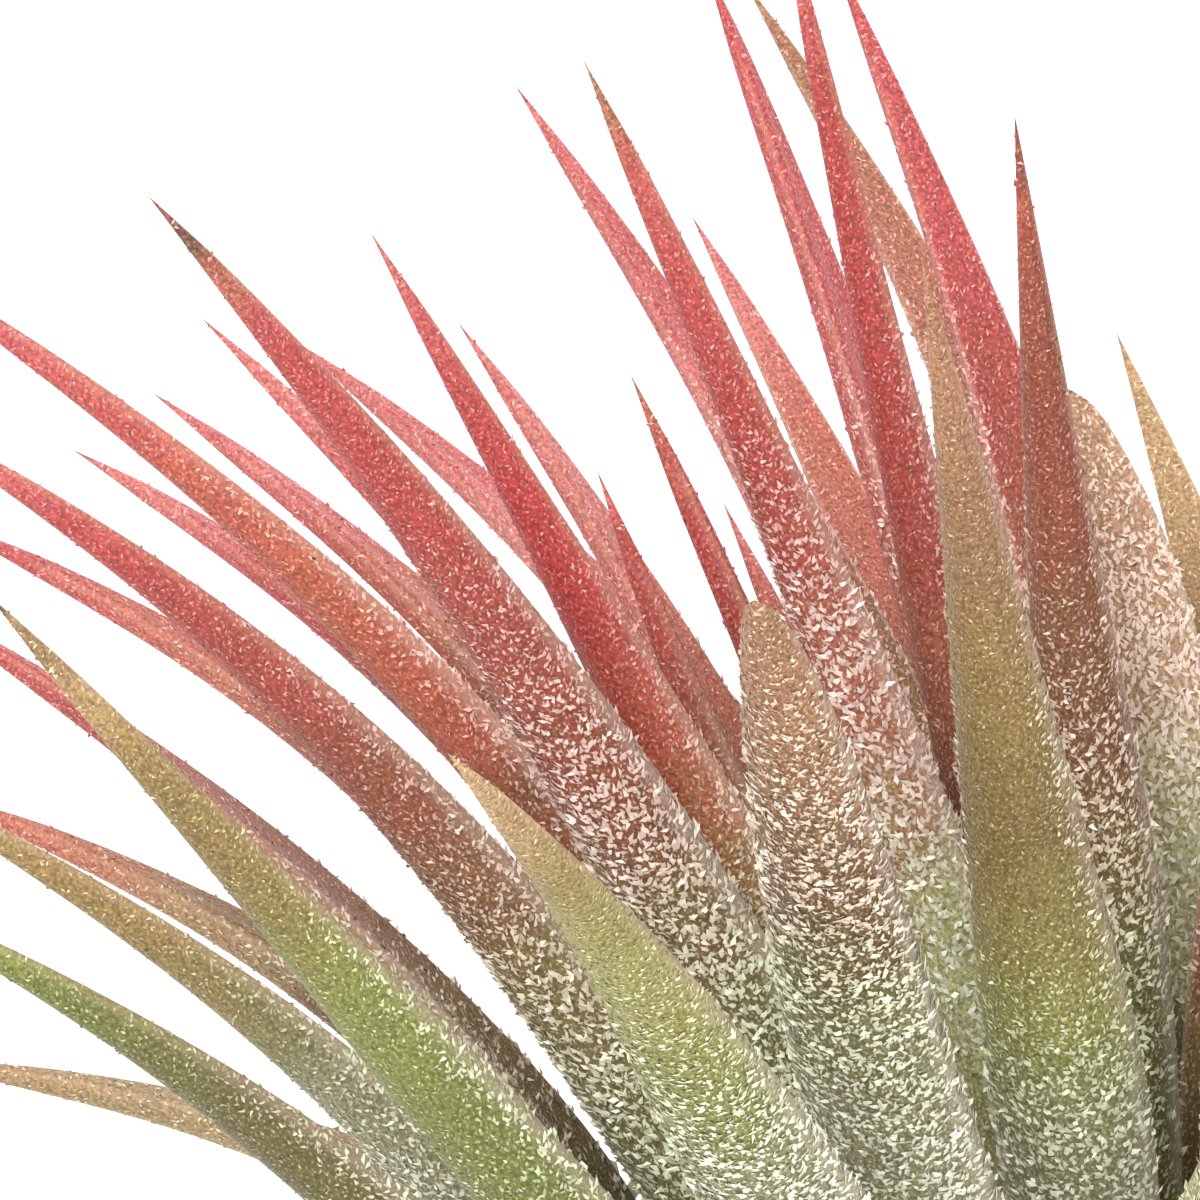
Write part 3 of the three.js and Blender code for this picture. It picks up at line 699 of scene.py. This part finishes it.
# The skin's fine random grain, made darker on the whole than the skin's own colour as painted shade
# between the scales.
GRAIN_AND_SHADE_DARK = (0.52, 0.43, 0.37, 1)
GRAIN_AND_SHADE_PALE = (1.1, 1.02, 0.95, 1)
SKIN_RELIEF = 0.04 * MM

skin_finish, tree, shader = finish_named("leaf_skin")
ground = attribute(tree, "ground")
turning = attribute(tree, "turning")
silver = attribute(tree, "silver", "Fac")
seen = attribute(tree, "seen", "Fac")
edge = attribute(tree, "edge", "Fac")
mottle = noise_at(tree, MOTTLES_PER_METRE, detail=4, roughness=0.6)
grain = noise_at(tree, GRAINS_PER_METRE, detail=2)
mottled = mottle.stepped(*MOTTLE_SPAN).blend(ground, turning)
# Random grain together with painted shade between the scales.
grain_and_shade = mottled.times(grain.stepped(*GRAIN_SPAN).blend(GRAIN_AND_SHADE_DARK, GRAIN_AND_SHADE_PALE))
# Paler margins: the hairs' own colour there and a painted sheen of them seen edge-on.
edge_and_sheen = (edge * (0.2 + silver * 0.3)).blend(grain_and_shade, silver.blend(PALE_EDGE_AND_SHEEN, SILVER_EDGE_AND_SHEEN))
# Painted shade: the skin darkens towards the crevice colour where it sees little of the sky.
sunk = seen.stepped(*CREVICE_SHADE_SEES).blend(CREVICE_SHADE, edge_and_sheen)
fleck, own = flecks(tree, FLECKS_PER_METRE)
fleck_colour = (0.22 + silver * 0.46).blend(sunk.times(FLECK_LIGHT), FLECK_WHITE)
strength = (fleck * FLECK_STRENGTH * (FAINTEST + own)).clamped()
coloured = strength.blend(sunk, fleck_colour)
tree.links.new(coloured.socket, shader.inputs["Base Color"])
relief = Wire.from_node(tree, "ShaderNodeBump", {}, {
    "Strength": 0.5, "Distance": SKIN_RELIEF, "Height": fleck * 0.6 + grain * 0.5})
tree.links.new(relief.socket, shader.inputs["Normal"])
shader.inputs["Roughness"].default_value = 0.6
shader.inputs["Sheen Weight"].default_value = 0.08
shader.inputs["Sheen Tint"].default_value = (0.95, 0.9, 0.86, 1)

scale_finish, tree, shader = finish_named("leaf_scales")
tree.links.new(attribute(tree, "ground").socket, shader.inputs["Base Color"])
shader.inputs["Roughness"].default_value = 0.42

SEED = 20261125
MOTTLE_REACH = 0.03  # how far along the leaf its colours reach into each other
for surface, wanted_here in zip(surfaces, wanted):
    number, name = surface.number, surface.name
    random = np.random.default_rng(SEED + number)
    skin = surface.skin
    hairs = scales(surface, wanted_here, random)
    write_colour(skin, "ground", ground_at(number, surface.along - MOTTLE_REACH))
    write_colour(skin, "turning", ground_at(number, surface.along + MOTTLE_REACH))
    for label, values in (("silver", silver_at(number, surface.along, surface.across)),
                          ("seen", surface.open),
                          ("edge", smoothstep(*EDGE_ACROSS, np.abs(surface.across)))):
        written = skin.attributes.new(label, "FLOAT", "POINT")
        written.data.foreach_set("value", values.astype(np.float32))
    written = skin.attributes.new("lengthwise", "FLOAT_VECTOR", "POINT")
    written.data.foreach_set("vector", surface.lengthwise_at_points.astype(np.float32).ravel())
    whole = bmesh.new()
    whole.from_mesh(skin)
    for face in whole.faces:
        face.smooth = True
        face.material_index = 0
    skin_faces = len(whole.faces)
    whole.from_mesh(hairs)
    for index, face in enumerate(whole.faces):
        if index >= skin_faces:
            face.material_index = 1
            face.smooth = False
    mesh = bpy.data.meshes.new(name + "_skin")
    whole.to_mesh(mesh)
    whole.free()
    bpy.data.meshes.remove(skin)
    bpy.data.meshes.remove(hairs)
    mesh.materials.append(skin_finish)
    mesh.materials.append(scale_finish)
    leaf = bpy.data.objects.new(name + "_skin", mesh)
    bpy.context.scene.collection.objects.link(leaf)
    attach(leaf, "root")
    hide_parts(name)

# The stem: a short woody stub inside the bulb, ringed by the scars of leaves that have gone, with
# the pale flat end that it was picked by.
BARK = (0.09, 0.055, 0.03, 1)
BARK_PALE = (0.22, 0.15, 0.09, 1)
FIBRES_PER_METRE = 900
FIBRE_SPAN = (0.35, 0.7)
FIBRE_RELIEF = 0.15 * MM
stem_finish, tree, shader = finish_named("stem_bark")
fibres = noise_at(tree, FIBRES_PER_METRE, detail=4, roughness=0.7)
bark = fibres.stepped(*FIBRE_SPAN).blend(BARK, BARK_PALE)
tree.links.new(bark.socket, shader.inputs["Base Color"])
relief = Wire.from_node(tree, "ShaderNodeBump", {}, {
    "Strength": 0.8, "Distance": FIBRE_RELIEF, "Height": fibres})
tree.links.new(relief.socket, shader.inputs["Normal"])
shader.inputs["Roughness"].default_value = 0.9

bm = bmesh.new()
bm.from_mesh(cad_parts["stem"].data)
bmesh.ops.remove_doubles(bm, verts=bm.verts, dist=TOUCHING)
bmesh.ops.join_triangles(bm, faces=bm.faces, angle_face_threshold=0.7, angle_shape_threshold=0.7)
bmesh.ops.subdivide_edges(bm, edges=bm.edges, cuts=2, use_grid_fill=True)
LUMP_HEIGHT = 0.12 * MM
LUMPS_PER_METRE = 1200
LUMPS_SUNK = 0.6  # of their height, so that the bark hardly stands out of the solid's surface
CUT_END_TOP = 0.2 * MM  # under it the bark is left alone, and the cut end stays flat
for vert in bm.verts:
    if vert.co.z > CUT_END_TOP:
        lump = noise.noise(vert.co * LUMPS_PER_METRE)
        vert.co += vert.normal * LUMP_HEIGHT * (lump - LUMPS_SUNK)
for face in bm.faces:
    face.smooth = True
mesh = bpy.data.meshes.new("stem_bark")
bm.to_mesh(mesh)
bm.free()
mesh.materials.append(stem_finish)
stem = bpy.data.objects.new("stem_bark", mesh)
bpy.context.scene.collection.objects.link(stem)
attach(stem, "root")
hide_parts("stem")

# The studio: a pale floor that the plant stands on, which is also what is seen behind it, under a
# white sky. Soft lights stand above it on the left, low in front, and behind it on the right.
FLOOR_SIZE = 30.0
floor_finish, tree, shader = finish_named("floor")
shader.inputs["Base Color"].default_value = (0.94, 0.94, 0.94, 1)
shader.inputs["Roughness"].default_value = 0.9
bm = bmesh.new()
bmesh.ops.create_grid(bm, x_segments=1, y_segments=1, size=FLOOR_SIZE / 2)
mesh = bpy.data.meshes.new("floor")
bm.to_mesh(mesh)
bm.free()
mesh.materials.append(floor_finish)
floor = bpy.data.objects.new("floor", mesh)
bpy.context.scene.collection.objects.link(floor)

world = bpy.data.worlds.new("sky")
bpy.context.scene.world = world
world.use_nodes = True
background = world.node_tree.nodes["Background"]
background.inputs["Color"].default_value = (1, 1, 1, 1)
background.inputs["Strength"].default_value = 1.0


def soft_light(name, at, towards, size, watts):
    lamp = bpy.data.lights.new(name, "AREA")
    lamp.size = size
    lamp.energy = watts
    light = bpy.data.objects.new(name, lamp)
    light.location = at
    light.rotation_euler = (Vector(towards) - Vector(at)).to_track_quat("-Z", "Y").to_euler()
    bpy.context.scene.collection.objects.link(light)


PLANT_MIDDLE = (0, 0, 0.035)
soft_light("key", (-0.3, -0.45, 0.6), PLANT_MIDDLE, 0.3, 4.0)
soft_light("fill", (0.15, -0.9, 0.2), PLANT_MIDDLE, 0.5, 3.2)
soft_light("rear", (0.45, 0.6, 0.5), PLANT_MIDDLE, 0.4, 3.0)

# The camera: the photograph looks along +Y and a little down, at the left half of the plant.
VIEW_ELEVATION = math.radians(6)
FRAME_WIDTH = 36 * MM
FRAME_ACROSS = -18 * MM
FRAME_UP = 41.5 * MM
CAMERA_DISTANCE = 1.2
SENSOR = 36.0
forward = Vector((0, math.cos(VIEW_ELEVATION), -math.sin(VIEW_ELEVATION)))
upward = Vector((0, math.sin(VIEW_ELEVATION), math.cos(VIEW_ELEVATION)))
lens = bpy.data.cameras.new("camera")
lens.sensor_width = SENSOR
lens.lens = SENSOR * CAMERA_DISTANCE / FRAME_WIDTH
lens.clip_start = 0.05
lens.clip_end = 50
camera = bpy.data.objects.new("camera", lens)
camera.location = Vector((FRAME_ACROSS, 0, 0)) + upward * FRAME_UP - forward * CAMERA_DISTANCE
camera.rotation_euler = forward.to_track_quat("-Z", "Y").to_euler()
bpy.context.scene.collection.objects.link(camera)
bpy.context.scene.camera = camera
bpy.context.scene.view_settings.view_transform = "Standard"
bpy.context.scene.view_settings.look = "None"
